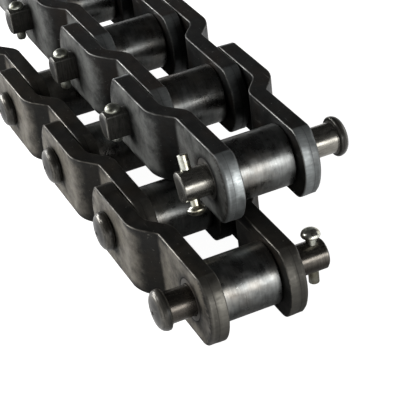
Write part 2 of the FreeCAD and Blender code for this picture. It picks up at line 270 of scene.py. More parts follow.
skin, skin_in, skin_out = new_group(
    "quenched_skin",
    [("Coordinates", "Vector", None), ("Grain", "Vector", None), ("Grey", "Color", None),
     ("Brown", "Color", None), ("Rubbed", "Color", None), ("Worn", "Color", None),
     ("Cropped", "Color", None), ("Rub", "Float", 0.0), ("Wear", "Float", 0.0),
     ("Crop", "Float", 0.0), ("Mottle", "Float", 1.0), ("Metal", "Float", 0.0),
     ("Roughness", "Float", 0.4)],
    [("Colour", "Color"), ("Metallic", "Float"), ("Roughness", "Float"), ("Height", "Float")])

# Noises from wide stains down to a fine grain. The drag is stretched the way in which the
# piece was rolled or turned.
place = skin_in.outputs["Coordinates"]
stain = noise_node(skin, place, 38.0, 5.0, 0.6)
cloud = noise_node(skin, place, 140.0, 4.0, 0.6)
grain = noise_node(skin, place, 1500.0, 3.0, 0.7)
drag = noise_node(skin, place, 260.0, 3.0, 0.6, stretch=skin_in.outputs["Grain"])
flake = noise_node(skin, place, 110.0, 7.0, 0.72)
speck = noise_node(skin, place, 620.0, 2.0, 0.5)
scratch = noise_node(skin, place, 700.0, 2.0, 0.5, stretch=(0.10, 1.0, 0.8))
shear = noise_node(skin, place, 900.0, 4.0, 0.65, stretch=(1.0, 0.25, 1.0))

# The scale's colour: grey with brown stains, clouded, and lighter in scuffed patches; the same
# patches paint the sheen of the plates' flats and wide bends.
brown_share = ramp_node(skin, stain, 0.44, 0.66)
tinted = mix_colours(skin, brown_share, skin_in.outputs["Grey"], skin_in.outputs["Brown"])
mottle = skin_in.outputs["Mottle"]
clouded = math_node(skin, "MULTIPLY", ramp_node(skin, cloud, 0.32, 0.68, -0.40, 0.35), mottle)
shade = math_node(skin, "ADD", clouded, ramp_node(skin, drag, 0.35, 0.7, 0.86, 1.18))
shaded = skin.nodes.new("ShaderNodeVectorMath")
shaded.operation = "SCALE"
skin.links.new(tinted, shaded.inputs[0])
skin.links.new(shade, shaded.inputs["Scale"])
rub = skin_in.outputs["Rub"]
loosened = math_node(skin, "ADD", flake, math_node(skin, "MULTIPLY", rub, RUB_LOOSENS))
rubbed_and_sheen_share = math_node(skin, "MULTIPLY", ramp_node(skin, loosened, 0.44, 0.78),
                         ramp_node(skin, rub, 0.0, 0.6))
rubbed = mix_colours(skin, rubbed_and_sheen_share, shaded.outputs[0], skin_in.outputs["Rubbed"])

# Over it the cropped rims, the worn edges and nicks, and a darkening where the mark is negative,
# partly grime and partly painted shade in holes, bores and seams.
nick = math_node(skin, "ADD", ramp_node(skin, speck, 0.71, 0.76),
                 ramp_node(skin, scratch, 0.69, 0.74, 0.0, 0.6))
cropped_share = math_node(skin, "MULTIPLY", skin_in.outputs["Crop"],
                          ramp_node(skin, shear, 0.30, 0.65, 0.68, 1.0))
cropped = mix_colours(skin, cropped_share, rubbed, skin_in.outputs["Cropped"])
wear = skin_in.outputs["Wear"]
ragged = math_node(skin, "MULTIPLY", wear, ramp_node(skin, drag, 0.36, 0.62, 0.25, 1.3))
bare = math_node(skin, "MAXIMUM", ragged, math_node(skin, "MULTIPLY", nick, NICK_SHARE))
bare_held = math_node(skin, "MINIMUM", bare, 1.0)
worn = mix_colours(skin, bare_held, cropped, skin_in.outputs["Worn"])
grime_and_shade = ramp_node(skin, wear, -1.0, 0.0, GRIME_AND_SHADOW_TONE, 1.0)
soiled = skin.nodes.new("ShaderNodeVectorMath")
soiled.operation = "SCALE"
skin.links.new(worn, soiled.inputs[0])
skin.links.new(grime_and_shade, soiled.inputs["Scale"])
skin.links.new(soiled.outputs[0], skin_out.inputs["Colour"])

# Bare steel is metallic and polished; scale is cloudy, and grime makes it dull.
open_metal = math_node(skin, "MAXIMUM", bare_held, cropped_share)
skin.links.new(math_node(skin, "MAXIMUM", skin_in.outputs["Metal"], open_metal),
               skin_out.inputs["Metallic"])
cloudy = math_node(skin, "MULTIPLY", ramp_node(skin, cloud, 0.3, 0.7, -0.06, 0.10), mottle)
rough_cloud = math_node(skin, "ADD", skin_in.outputs["Roughness"], cloudy)
rough_grime = math_node(skin, "ADD", rough_cloud,
                        ramp_node(skin, wear, -1.0, 0.0, GRIME_ROUGHNESS, 0.0))
patchy = math_node(skin, "MULTIPLY", ramp_node(skin, flake, 0.35, 0.7, 0.10, -0.12), mottle)
rough_flake = math_node(skin, "ADD", rough_grime, patchy)
polish = math_node(skin, "MULTIPLY", open_metal, BARE_POLISH)
skin.links.new(math_node(skin, "SUBTRACT", rough_flake, polish), skin_out.inputs["Roughness"])

# The relief is grain and drag, with the nicks sunk into it.
relief = math_node(skin, "ADD", math_node(skin, "MULTIPLY", grain, GRAIN_RELIEF),
                   math_node(skin, "MULTIPLY", drag, DRAG_RELIEF))
skin.links.new(math_node(skin, "SUBTRACT", relief, math_node(skin, "MULTIPLY", nick, NICK_DEPTH)),
               skin_out.inputs["Height"])


def steel_material(name, grey, brown, worn, metal, roughness, relief_mm, wear_share=1.0,
                   cropped=None, rubbed=None, grain=(0.35, 1.0, 2.4), mottle=1.0, gloss=0.09):
    """Bare or scaled steel: the attributes wear, crop and rub hold its worn edges, with grime and
    painted shade where the first is negative, its cropped or ground rims, dimmed on the plates by
    painted shade, and the faces that hands and neighbours have scuffed, with a painted sheen on
    them.
    """
    material, tree, output = new_material(name)
    shader = tree.nodes.new("ShaderNodeBsdfPrincipled")
    shader.inputs["Specular IOR Level"].default_value = gloss
    coordinates = tree.nodes.new("ShaderNodeTexCoord").outputs["Object"]
    finish = tree.nodes.new("ShaderNodeGroup")
    finish.node_tree = skin
    tree.links.new(coordinates, finish.inputs["Coordinates"])
    for label, colour in (("Grey", grey), ("Brown", brown), ("Worn", worn),
                          ("Cropped", cropped or worn), ("Rubbed", rubbed or grey)):
        finish.inputs[label].default_value = (*colour, 1)
    finish.inputs["Grain"].default_value = grain
    finish.inputs["Mottle"].default_value = mottle
    finish.inputs["Metal"].default_value = metal
    finish.inputs["Roughness"].default_value = roughness
    mark = tree.nodes.new("ShaderNodeAttribute")
    mark.attribute_name = "wear"
    wear_and_shade_share = math_node(tree, "MULTIPLY", mark.outputs["Fac"], wear_share)
    tree.links.new(wear_and_shade_share, finish.inputs["Wear"])
    for label, colour in (("crop", cropped), ("rub", rubbed)):
        if colour:
            mark = tree.nodes.new("ShaderNodeAttribute")
            mark.attribute_name = label
            tree.links.new(mark.outputs["Fac"], finish.inputs[label.capitalize()])
    bump = tree.nodes.new("ShaderNodeBump")
    bump.inputs["Strength"].default_value = 1.0
    bump.inputs["Distance"].default_value = relief_mm / 1000
    tree.links.new(finish.outputs["Height"], bump.inputs["Height"])
    tree.links.new(finish.outputs["Colour"], shader.inputs["Base Color"])
    tree.links.new(finish.outputs["Metallic"], shader.inputs["Metallic"])
    tree.links.new(finish.outputs["Roughness"], shader.inputs["Roughness"])
    tree.links.new(bump.outputs["Normal"], shader.inputs["Normal"])
    tree.links.new(shader.outputs[0], output.inputs["Surface"])
    return material


def finish_piece(thing, material, body, node):
    """Give a piece its material, let it ride on its body and stand for its CAD node."""
    thing.data.materials.append(material)
    weighted = thing.modifiers.new("even_normals", "WEIGHTED_NORMAL")
    weighted.keep_sharp = True
    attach(thing, body)
    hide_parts(node)


# The sidebars are cut from hot-rolled flat bar, cropped round at both ends, bent twice in a
# press and pierced for bushing and pin. Their edges are rolled smooth and worn bright.
LINKS = 4
STRANDS = {"upper": 1, "lower": -1}
NARROW_FLAT = 0.0315
CRANK_ANGLE = math.radians(38)
NARROW_BEND = 0.003
WIDE_BEND = 0.0105
CORNER_REACH = 0.0138
PIN_HOLE = 0.00796
KEY_FLAT = 0.00432
END_PATCH = 0.024
CORNER_ROUNDING = 0.008
EDGE_ROUNDING = 0.0008
CROP_ROUNDING = 0.0022
HOLE_ROUNDING = 0.00025
CROP_STEP = 0.00015
SHEAR_LINE = 0.0005
SHEAR_WIDTH = 0.00022
SHEAR_DEPTH = 0.00018
EDGE_STEPS = 4
SHEAR_STEPS = 3
CORNER_STEPS = 6
FACE_STEPS = 8
FLAT_STEPS = 8
ARC_STEPS = 48
BEND_STEPS = 10
SLOPE_STEPS = 4
FACE_SHARES = np.array([0, 0.03, 0.2, 0.4, 0.6, 0.8, 1])
# The faces round the holes are darkened, partly oil and partly painted shade. The outer faces take
# scuffed patches with a painted sheen, more on the wide half. The cropped rims behind the first
# link and on the far plates are dimmed as painted shade.
OIL_AND_SHADE_SHARES = np.array([0, 1, 0.75, 0.5, 0.3, 0.1, 0])
OIL_AND_SHADE = 0.6
OIL_AND_SHADE_NARROW = 0.42
SHEEN_START = 0.3
WIDE_SHEEN = 1.6
RUB_AND_SHEEN_FALLOFF = 0.9
RIM_PAINTED_SHADOW = 0.4
FAR_RIM_PAINTED_SHADE = 0.7
ARC_RUN = 2
ROUNDING_RUN = 8
RUB_AND_SHEEN_RISE = 2.5
CROPPED_WEAR = 0.35
FURROW_DARKENING = 0.9
RECESS_DULLING = 0.4

first_links = {name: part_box(f"{name}_roller_1") for name in STRANDS}
second_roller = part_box("upper_roller_2")
PITCH = first_links["upper"][0].x - second_roller[0].x
bushing_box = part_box("upper_bushing_1")
BUSHING_RADIUS = (bushing_box[1].x - bushing_box[0].x) / 2
NARROW_OUTER = (bushing_box[1].y - bushing_box[0].y) / 2
plate_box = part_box("upper_plain_sidebar_1")
HALF_HEIGHT = (plate_box[1].z - plate_box[0].z) / 2


def link_centre(strand, number):
    """The middle of a link's roller: on the pin's axis and on the chain's middle plane."""
    low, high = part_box(f"{strand}_roller_{number}")
    return np.array((low + high) / 2)


CHAIN_MIDDLE = link_centre("upper", 1)[1]
NARROW_INNER = plate_box[0].y - CHAIN_MIDDLE
WIDE_OUTER = plate_box[1].y - CHAIN_MIDDLE
THICKNESS = NARROW_OUTER - NARROW_INNER
WIDE_INNER = WIDE_OUTER - THICKNESS
END_RADIUS = math.hypot(HALF_HEIGHT, CORNER_REACH)


def crank_path():
    """Points and outward directions along the plate's middle surface, seen from above.

    A flat, a sharp bend about a centre outside the chain, a slope, a round bend about a centre
    inside it and a flat. The crank is as long as both bends' tangents and the slope's step.
    """
    tangents = (NARROW_BEND + WIDE_BEND + THICKNESS) * math.tan(CRANK_ANGLE / 2)
    crank_length = tangents + (WIDE_OUTER - NARROW_OUTER) / math.tan(CRANK_ANGLE)
    near = np.array([-NARROW_FLAT, NARROW_OUTER + NARROW_BEND])
    far = np.array([-NARROW_FLAT - crank_length, WIDE_INNER - WIDE_BEND])
    turning = np.linspace(0, CRANK_ANGLE, BEND_STEPS + 1)
    way = np.stack([np.sin(turning), np.cos(turning)], -1)
    near_arc = near - (NARROW_BEND + THICKNESS / 2) * way
    far_arc = far + (WIDE_BEND + THICKNESS / 2) * way[::-1]
    share = np.linspace(0, 1, SLOPE_STEPS + 1)[1:-1, None]
    slope = near_arc[-1] * (1 - share) + far_arc[0] * share
    start = np.array([[-END_PATCH, NARROW_INNER + THICKNESS / 2]])
    end = np.array([[END_PATCH - PITCH, WIDE_INNER + THICKNESS / 2]])
    points = np.concatenate([start, near_arc, slope, far_arc, end])
    flat = np.array([[0.0, 1.0]])
    ways = np.concatenate([flat, way, np.repeat(way[-1:], len(slope), 0), way[::-1], flat])
    return points, ways


def rim_profile(rounding):
    """The plate's edge from its outer face round to its inner face, for one or more roundings.

    Returns how far each point lies from the inset face line towards the full outline, its offset
    through the thickness, and how worn the edge is there. The inner face keeps the plain rounding,
    and rows lie close together where the shear leaves its line.
    """
    turning = np.linspace(0, math.pi / 2, EDGE_STEPS + 1)[:, None]
    core = THICKNESS / 2 - np.atleast_1d(rounding)
    level = np.ones_like(core)
    inner_core = THICKNESS / 2 - EDGE_ROUNDING
    share = np.linspace(0, 1, SHEAR_STEPS + 1)[1:, None]
    line = SHEAR_LINE + SHEAR_WIDTH * np.array([[1.0], [0.0], [-1.0]])
    above = core * (1 - share) + (SHEAR_LINE + 2 * SHEAR_WIDTH) * share
    below = (SHEAR_LINE - 2 * SHEAR_WIDTH) * (1 - share) - inner_core * share
    shorn = np.concatenate([above, line * level, below * level])[:-1]
    depth = np.concatenate([core + rounding * np.cos(turning), shorn,
                            -(inner_core + EDGE_ROUNDING * np.cos(turning[::-1])) * level])
    middle = np.ones((len(shorn), 1))
    outward = np.concatenate([np.sin(turning), middle, np.sin(turning[::-1])]) * level
    wear = np.concatenate([np.sin(2 * turning), 0 * middle, np.sin(2 * turning[::-1])]) * level
    return outward, depth, wear


def end_outline():
    """One end's outline about its hole, and the outward direction at each of its points.

    It runs along the straight upper edge, round a small arc that touches it and round the big
    arc about the hole, and mirrored back along the lower edge.
    """
    core = HALF_HEIGHT - CORNER_ROUNDING
    corner_x = math.sqrt((END_RADIUS - CORNER_ROUNDING) ** 2 - core ** 2)
    meeting = math.atan2(core, corner_x)
    across = np.linspace(-END_PATCH, corner_x, FLAT_STEPS + 1)
    corner = np.linspace(math.pi / 2, meeting, CORNER_STEPS + 1)[1:]
    corner_way = np.stack([np.cos(corner), np.sin(corner)], -1)
    turning = np.linspace(meeting, -meeting, ARC_STEPS + 1)[1:-1]
    way = np.stack([np.cos(turning), np.sin(turning)], -1)
    top = np.concatenate([np.stack([across, np.full_like(across, HALF_HEIGHT)], -1),
                          np.array([corner_x, core]) + CORNER_ROUNDING * corner_way])
    top_way = np.concatenate([np.repeat([[0.0, 1.0]], len(across), 0), corner_way])
    mirror = np.array([1, -1])
    return (np.concatenate([top, END_RADIUS * way, top[::-1] * mirror]),
            np.concatenate([top_way, way, top_way[::-1] * mirror]))


def end_patch(hole, rim_painted_light, key_flat=None, oiled=0.0, polish=1.0):
    """One end of the plate about the middle of its hole: two faces, the rim and the hole's wall.

    Each is a grid: round the outline one way, and across the rim, the face or the wall the other.
    Points come as (along, through the thickness, up). rim_painted_light scales the cropped rim's
    brightness as painted shade. key_flat is how far the hole's flat lies from its middle, oiled
    darkens the faces round the hole with oil and painted shade, and polish is how many more scuffed
    patches, and how much more painted sheen, the outer face takes where it meets the strip.
    """
    full, way = end_outline()
    step = np.arange(len(full))
    from_corner = np.minimum(step, len(full) - 1 - step) - FLAT_STEPS
    on_arc = np.clip(from_corner / ARC_RUN, 0, 1)
    cropped_share = np.clip(from_corner / ROUNDING_RUN, 0, 1)
    rounding = EDGE_ROUNDING + (CROP_ROUNDING - EDGE_ROUNDING) * cropped_share
    outward, depth, rim_marks = rim_profile(rounding)
    furrow = np.exp(-((depth - SHEAR_LINE) / SHEAR_WIDTH) ** 2) * on_arc
    recess = CROP_STEP / (1 + np.exp((SHEAR_LINE - depth) / SHEAR_WIDTH))
    recess = recess * (outward > 0.99) * on_arc
    outer_line = full - way * rounding[:, None]
    inner_line = full - way * EDGE_ROUNDING
    inset = np.where(depth[..., None] > 0, outer_line, inner_line)
    flat = inset + (full - inset) * outward[..., None]
    flat = flat - way * (recess + SHEAR_DEPTH * furrow)[..., None]
    rim = np.stack([flat[..., 0], depth, flat[..., 1]], -1)
    on_rim = on_arc * np.clip(outward * 2 - 1, 0, 1)
    # The cropped rim's share is scaled by the rim's painted light: painted shade on the links
    # behind the first and on the far plates.
    rim_crop_shaded = rim_painted_light * (1 - RECESS_DULLING * recess / CROP_STEP) * on_rim
    rim_marks = rim_marks * np.where((depth > 0) & (on_arc > 0), CROPPED_WEAR, 1.0)
    # The shear furrow is darkened.
    rim_marks = rim_marks - FURROW_DARKENING * furrow
    patches = [(rim, grid_faces(len(depth), len(full), False), rim_marks, rim_crop_shaded, 0 * rim_marks)]

    levels = np.linspace(-1, 1, FACE_STEPS + 1)[1:-1] * (HALF_HEIGHT - EDGE_ROUNDING)
    cut = np.stack([np.full_like(levels, -END_PATCH), levels], -1)
    loops = {1: np.concatenate([outer_line, cut]), -1: np.concatenate([inner_line, cut])}
    angle = np.arctan2(loops[-1][:, 1], loops[-1][:, 0])
    radius = np.full_like(angle, hole)
    if key_flat:
        facing = -np.cos(angle)
        radius = np.where(facing > key_flat / hole, key_flat / np.maximum(facing, 1e-6), radius)
    spoke = np.stack([np.cos(angle), np.sin(angle)], -1)
    wall_core = THICKNESS / 2 - HOLE_ROUNDING
    wall = [(HOLE_ROUNDING, THICKNESS / 2), (0.0, wall_core),
            (0.0, -wall_core), (HOLE_ROUNDING, -THICKNESS / 2)]
    wall_points = np.stack([
        np.column_stack([spoke[:, 0] * (radius + grow), np.full_like(angle, depth),
                         spoke[:, 1] * (radius + grow)]) for grow, depth in wall])
    # The hole's wall is darkened all over: painted shade inside the hole, round the bushing at the
    # narrow end and the pin at the wide end.
    wall_shade = np.full(wall_points.shape[:2], -1.0)
    unmarked = np.zeros_like(wall_shade)
    patches.append((wall_points, grid_faces(len(wall), len(angle), True),
                    wall_shade, unmarked, unmarked))
    for side, loop in loops.items():
        ring = spoke * (radius + HOLE_ROUNDING)[:, None]
        share = FACE_SHARES[:, None, None]
        flat = ring * (1 - share) + loop * share
        level = np.full(flat.shape[:2], side * THICKNESS / 2)
        face = np.stack([flat[..., 0], level, flat[..., 1]], -1)
        # Darkening round the hole, partly oil and partly painted shade; the ring at the hole's edge
        # is always dark.
        near_hole = OIL_AND_SHADE_SHARES * oiled
        near_hole[0] = 1
        wear = -np.repeat(near_hole[:, None], len(loop), 1)
        # Scuffed patches with a painted sheen on the outer face: none at the hole, rising outwards,
        # and more towards the strip on the wide end.
        inward = np.clip((-flat[..., 0] / END_PATCH - SHEEN_START) / (1 - SHEEN_START), 0, 1)
        rub = np.minimum(1, RUB_AND_SHEEN_RISE * share[..., 0]) * (1 + (polish - 1) * inward) * (side > 0)
        patches.append((face, grid_faces(len(share), len(loop), True), wear, 0 * rub, rub))
    return patches


def plate_mesh(name, centre, side, rim_painted_light, key_flat=None):
    """A whole sidebar: a narrow end, a wide end turned round, and the cranked strip between.

    side is +1 or -1, the side of the chain's middle plane that the plate lies on, and
    rim_painted_light is how bright its cropped rims are painted: less on the links behind the first
    and on the far plates, as painted shade.
    """
    parts = []
    for points, faces, *marks in end_patch(BUSHING_RADIUS, rim_painted_light, oiled=OIL_AND_SHADE_NARROW):
        across = NARROW_INNER + THICKNESS / 2 + points[..., 1]
        parts.append((np.stack([points[..., 0], across, points[..., 2]], -1), faces, *marks))
    for points, faces, *marks in end_patch(PIN_HOLE, rim_painted_light, key_flat, OIL_AND_SHADE, WIDE_SHEEN):
        along = -PITCH - points[..., 0]
        across = WIDE_INNER + THICKNESS / 2 + points[..., 1]
        parts.append((np.stack([along, across, points[..., 2]], -1), faces, *marks))
    path, ways = crank_path()
    profile = np.concatenate(rim_profile(EDGE_ROUNDING), 1)
    levels = np.linspace(1, -1, FACE_STEPS + 1)[1:-1] * (HALF_HEIGHT - EDGE_ROUNDING)
    edge_level = HALF_HEIGHT - EDGE_ROUNDING + EDGE_ROUNDING * profile[:, 0]
    top = np.stack([profile[:, 1], edge_level, profile[:, 2]], -1)
    bottom = top[::-1] * np.array([1, -1, 1])
    inner_face = np.stack([np.full_like(levels, -THICKNESS / 2), levels, np.zeros_like(levels)], -1)
    outer_face = inner_face[::-1] * np.array([-1, 1, 1])
    ring = np.concatenate([top, inner_face, bottom, outer_face])
    strip = path[:, None] + ways[:, None] * ring[None, :, :1]
    level = np.repeat(ring[None, :, 1], len(path), 0)
    strip_points = np.stack([strip[..., 0], strip[..., 1], level], -1)
    strip_wear = np.repeat(ring[None, :, 2], len(path), 0)
    lean = np.abs(ways[:, :1]) / math.sin(CRANK_ANGLE)
    inside_edges = np.abs(ring[None, :, 1]) < HALF_HEIGHT - 1.5 * EDGE_ROUNDING
    on_face = inside_edges & (ring[None, :, 0] > 0)
    # Painted sheen with the scuffed patches: the flats take it and the slopes none, and the wide
    # half takes more.
    polish = np.where(path[:, :1] < -PITCH / 2, WIDE_SHEEN, 1.0)
    strip_rub_and_sheen = (1 - lean) ** RUB_AND_SHEEN_FALLOFF * on_face * polish
    parts.append((strip_points, grid_faces(len(path), len(ring), True),
                  strip_wear, np.zeros_like(strip_wear), strip_rub_and_sheen))

    corners, quads, count = [], [], 0
    marks = {"wear": [], "crop": [], "rub": []}
    for points, faces, *strengths in parts:
        place = points.reshape(-1, 3) * np.array([1, side, 1]) + centre
        corners.append(place)
        quads.append(faces + count)
        for label, strength in zip(marks, strengths):
            marks[label].append(np.ravel(strength))
        count += len(place)
    marks = {label: np.concatenate(strengths) for label, strengths in marks.items()}
    return mesh_object(name, np.concatenate(corners), np.concatenate(quads), marks)


sidebar_steel = {
    "upper": steel_material("sidebar_steel_upper", grey=(0.014, 0.0145, 0.0142),
                            brown=(0.020, 0.0152, 0.012), worn=(0.19, 0.19, 0.18),
                            metal=0.0, roughness=0.42, relief_mm=0.06, wear_share=0.6,
                            cropped=(0.37, 0.395, 0.395), rubbed=(0.140, 0.143, 0.136)),
    "lower": steel_material("sidebar_steel_lower", grey=(0.0155, 0.015, 0.0135),
                            brown=(0.022, 0.018, 0.0135), worn=(0.18, 0.17, 0.15),
                            metal=0.0, roughness=0.42, relief_mm=0.06, wear_share=0.6,
                            cropped=(0.135, 0.129, 0.113), rubbed=(0.186, 0.170, 0.142)),
}
for strand, head_side in STRANDS.items():
    for number in range(1, LINKS + 1):
        centre = link_centre(strand, number)
        for kind, side, flat in (("plain", head_side, None), ("keyed", -head_side, KEY_FLAT)):
            node = f"{strand}_{kind}_sidebar_{number}"
            # Painted shade on the cropped rims: dimmer on the links behind the first and on the far
            # plates.
            rim_painted_light = (1.0 if number == 1 else RIM_PAINTED_SHADOW) * (FAR_RIM_PAINTED_SHADE if side > 0 else 1.0)
            plate = plate_mesh("steel_" + node, centre, side, rim_painted_light, flat)
            finish_piece(plate, sidebar_steel[strand],
                         f"{strand}_link_{number}", node)


# Rollers and bushings are turned from tube. The bushing is pressed through both narrow ends and its
# ends show as a fine seam, darkened there as painted shade; the roller spins on it and is polished
# by the sprocket.
TURNED_STEPS = 96
ROLLER_ROUNDING = 0.0009
TUBE_ROUNDING = 0.0003


def turned_mesh(name, centre, radii, stations, marks, turn=0.0, shape=None, ground=None):
    """A closed form turned about Y: a profile of radii and stations carried round the axis.

    turn is the angle by which the whole form stands round the axis, shape may change the radii
    with the angle, and ground tells from radius and station how bright the surface is ground. A
    profile that starts and ends on the axis is closed there by merging; one that ends where it
    starts is a tube.
    """
    angle = np.linspace(0, 2 * math.pi, TURNED_STEPS + 1)[:-1]
    radius = np.repeat(np.asarray(radii)[:, None], len(angle), 1)
    station = np.repeat(np.asarray(stations)[:, None], len(angle), 1)
    if shape:
        radius = shape(radius, station, angle)
    points = np.stack([radius * np.cos(angle + turn), station, radius * np.sin(angle + turn)], -1)
    faces = grid_faces(len(radii), len(angle), True)
    wear = np.repeat(np.asarray(marks, float)[:, None], len(angle), 1)
    layers = {"wear": wear}
    if ground is not None:
        layers["crop"] = ground(radius, station)
    return mesh_object(name, points + centre, faces, layers)


def rounded_corner(radius, station, rounding, out, reverse=False, steps=4):
    """Profile points of a rounded corner, from the end face onto the cylinder or in reverse.

    out is the way along the axis, +1 or -1, in which the end face looks. The third list is how worn
    the edge is, most in the middle of the rounding.
    """
    turning = np.linspace(0, math.pi / 2, steps + 1)
    if reverse:
        turning = turning[::-1]
    return (radius - rounding + rounding * np.sin(turning),
            station - out * rounding * (1 - np.cos(turning)), np.sin(2 * turning))


def tube_profile(radius, bore, half_length, rounding, bore_rounding, edge_mark):
    """A tube's closed profile: out over one end, along the outside, back and through the bore.

    Its outer edges take the given edge_mark: worn lighter where it is positive, and darkened as
    painted shade where it is negative. The bore is darkened.
    """
    right = rounded_corner(radius, half_length, rounding, 1)
    left = rounded_corner(radius, -half_length, rounding, -1, reverse=True)
    radii = [bore, bore + bore_rounding, *right[0], *left[0], bore + bore_rounding, bore, bore]
    edge = half_length - bore_rounding
    stations = [edge, half_length, *right[1], *left[1], -half_length, -edge, edge]
    marks = [-0.5, 0.2, *(edge_mark * right[2]), *(edge_mark * left[2]), 0.2, -0.5, -0.5]
    return radii, stations, marks


roller_steel = steel_material("roller_steel", grey=(0.18, 0.185, 0.18),
                              brown=(0.17, 0.155, 0.135), worn=(0.34, 0.35, 0.34),
                              metal=1.0, roughness=0.30, relief_mm=0.03, wear_share=0.5,
                              grain=(0.5, 4.0, 0.5), mottle=0.8)
bushing_steel = steel_material("bushing_steel", grey=(0.055, 0.053, 0.050),
                               brown=(0.060, 0.048, 0.038), worn=(0.26, 0.25, 0.22),
                               metal=0.2, roughness=0.42, relief_mm=0.03, wear_share=0.9,
                               grain=(0.5, 5.0, 0.5))
roller_low, roller_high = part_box("upper_roller_1")
ROLLER_RADIUS = (roller_high.z - roller_low.z) / 2
ROLLER_HALF = (roller_high.y - roller_low.y) / 2
RUNNING_CLEARANCE = 0.00008
BUSHING_BORE = 0.00802
for strand in STRANDS:
    for number in range(1, LINKS + 1):
        centre = link_centre(strand, number)
        roller = turned_mesh(f"steel_{strand}_roller_{number}", centre, *tube_profile(
            ROLLER_RADIUS, BUSHING_RADIUS + RUNNING_CLEARANCE, ROLLER_HALF, ROLLER_ROUNDING,
            TUBE_ROUNDING, 1.0))
        finish_piece(roller, roller_steel, f"{strand}_roller_{number}_body",
                     f"{strand}_roller_{number}")
        # The bushing's outer edges take a negative edge mark: painted shade, which shows as the
        # dark seam.
        bushing = turned_mesh(f"steel_{strand}_bushing_{number}", centre, *tube_profile(
            BUSHING_RADIUS, BUSHING_BORE, NARROW_OUTER, TUBE_ROUNDING, TUBE_ROUNDING, -1.0))
        finish_piece(bushing, bushing_steel, f"{strand}_link_{number}",
                     f"{strand}_bushing_{number}")


# The pins are forged with a round head and hardened. A flat is milled at the tip, which the
# keyed sidebar holds, and the end pin of each strand is still loose in its bushing.
PIN_RADIUS = 0.00794
HEAD_HEIGHT = 0.0065
HEAD_ROUNDING = 0.004
HEAD_CROWN = 0.0010
HEAD_STEPS = 8
HEAD_WEAR = 0.8
DULL_SHANK = 0.1
TIP_SHINE = 0.5
FLAT_SHINE = 0.15
BACK_ROUNDING = 0.0012
TIP_BEVEL = 0.0009
FLAT_DISTANCE = 0.0043
DIMPLE_RADIUS = 0.0013
DIMPLE_DEPTH = 0.0007
MILLED_ROWS = 5
SHANK_ROWS = 7
END_PIN_ANGLE = {"upper": math.radians(158), "lower": math.radians(180)}
pin_low, pin_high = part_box("upper_pin_2")
HEAD_RADIUS = (pin_high.x - pin_low.x) / 2
PIN_LENGTH = pin_high.y - pin_low.y


def pin_profile():
    """A pin's profile from the middle of its tip to the middle of its head, tip at zero."""
    shoulder = PIN_LENGTH - HEAD_HEIGHT
    flat_end = PIN_LENGTH - HEAD_HEIGHT - 2 * WIDE_OUTER + THICKNESS
    back = rounded_corner(HEAD_RADIUS, shoulder, BACK_ROUNDING, -1)
    front = rounded_corner(HEAD_RADIUS, PIN_LENGTH - HEAD_CROWN, HEAD_ROUNDING, 1,
                           reverse=True, steps=HEAD_STEPS)
    tip_radius = PIN_RADIUS - TIP_BEVEL
    face_radius = HEAD_RADIUS - HEAD_ROUNDING
    crown = face_radius * np.array([0.8, 0.6, 0.4, 0.25])
    radii = [0, tip_radius * 0.6, tip_radius, PIN_RADIUS, PIN_RADIUS, PIN_RADIUS, PIN_RADIUS,
             *back[0], *front[0], *crown, DIMPLE_RADIUS, DIMPLE_RADIUS * 0.6, 0]
    stations = [0, 0, 0, TIP_BEVEL, flat_end, flat_end, shoulder, *back[1], *front[1],
                *(PIN_LENGTH - HEAD_CROWN * (crown / face_radius) ** 2),
                PIN_LENGTH, PIN_LENGTH - DIMPLE_DEPTH, PIN_LENGTH - DIMPLE_DEPTH]
    marks = [0, 0, 1, 0.6, 0, 0, 0, *back[2], *(HEAD_WEAR * front[2]), 0, 0, 0, 0, 0.3, 0, 0]
    return np.array(radii), np.array(stations), marks


def pin_mesh(name, axis_point, tip_y, side, turn, shine):
    """A pin put on its axis, its tip at tip_y and its head on the given side, turned about Y.

    shine tells how bright its shank is ground.
    """
    radii, stations, marks = pin_profile()
    row = np.arange(len(radii))[:, None]
    milled = row < MILLED_ROWS
    shank = row < SHANK_ROWS

    def mill(radius, station, angle):
        share = FLAT_DISTANCE / (PIN_RADIUS * np.maximum(np.cos(angle), 1e-6))
        return np.where(milled, radius * np.minimum(1, share), radius)

    def ground(radius, station):
        on_flat = milled & (radius < PIN_RADIUS - 1e-5)
        bright = np.where(np.abs(station) < TIP_BEVEL, TIP_SHINE, shine)
        return np.where(on_flat, FLAT_SHINE * shine, shank * bright)

    centre = np.array([axis_point[0], tip_y, axis_point[2]])
    return turned_mesh(name, centre, radii, stations * side, marks, turn, mill, ground)


pin_steel = {
    "upper": steel_material("pin_steel_upper", grey=(0.015, 0.0155, 0.0145),
                            brown=(0.020, 0.017, 0.014), worn=(0.20, 0.195, 0.175),
                            metal=0.0, roughness=0.30, relief_mm=0.02, wear_share=0.6,
                            cropped=(0.24, 0.23, 0.205), grain=(0.5, 5.0, 0.5),
                            mottle=0.5, gloss=0.18),
    "lower": steel_material("pin_steel_lower", grey=(0.016, 0.0155, 0.0135),
                            brown=(0.021, 0.018, 0.014), worn=(0.20, 0.188, 0.165),
                            metal=0.0, roughness=0.30, relief_mm=0.02, wear_share=0.6,
                            cropped=(0.085, 0.076, 0.066), grain=(0.5, 5.0, 0.5),
                            mottle=0.5, gloss=0.18),
}
for strand, head_side in STRANDS.items():
    for number in range(1, LINKS + 1):
        centre = link_centre(strand, number)
        low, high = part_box(f"{strand}_pin_{number}")
        tip_y = low.y if head_side > 0 else high.y
        turn = -END_PIN_ANGLE[strand] if number == 1 else 0.0
        shine = 1.0 if number == 1 else DULL_SHANK
        body = f"{strand}_end_pin" if number == 1 else f"{strand}_link_{number - 1}"
        pin = pin_mesh(f"steel_{strand}_pin_{number}", centre, tip_y, head_side, turn, shine)
        finish_piece(pin, pin_steel[strand], body, f"{strand}_pin_{number}")


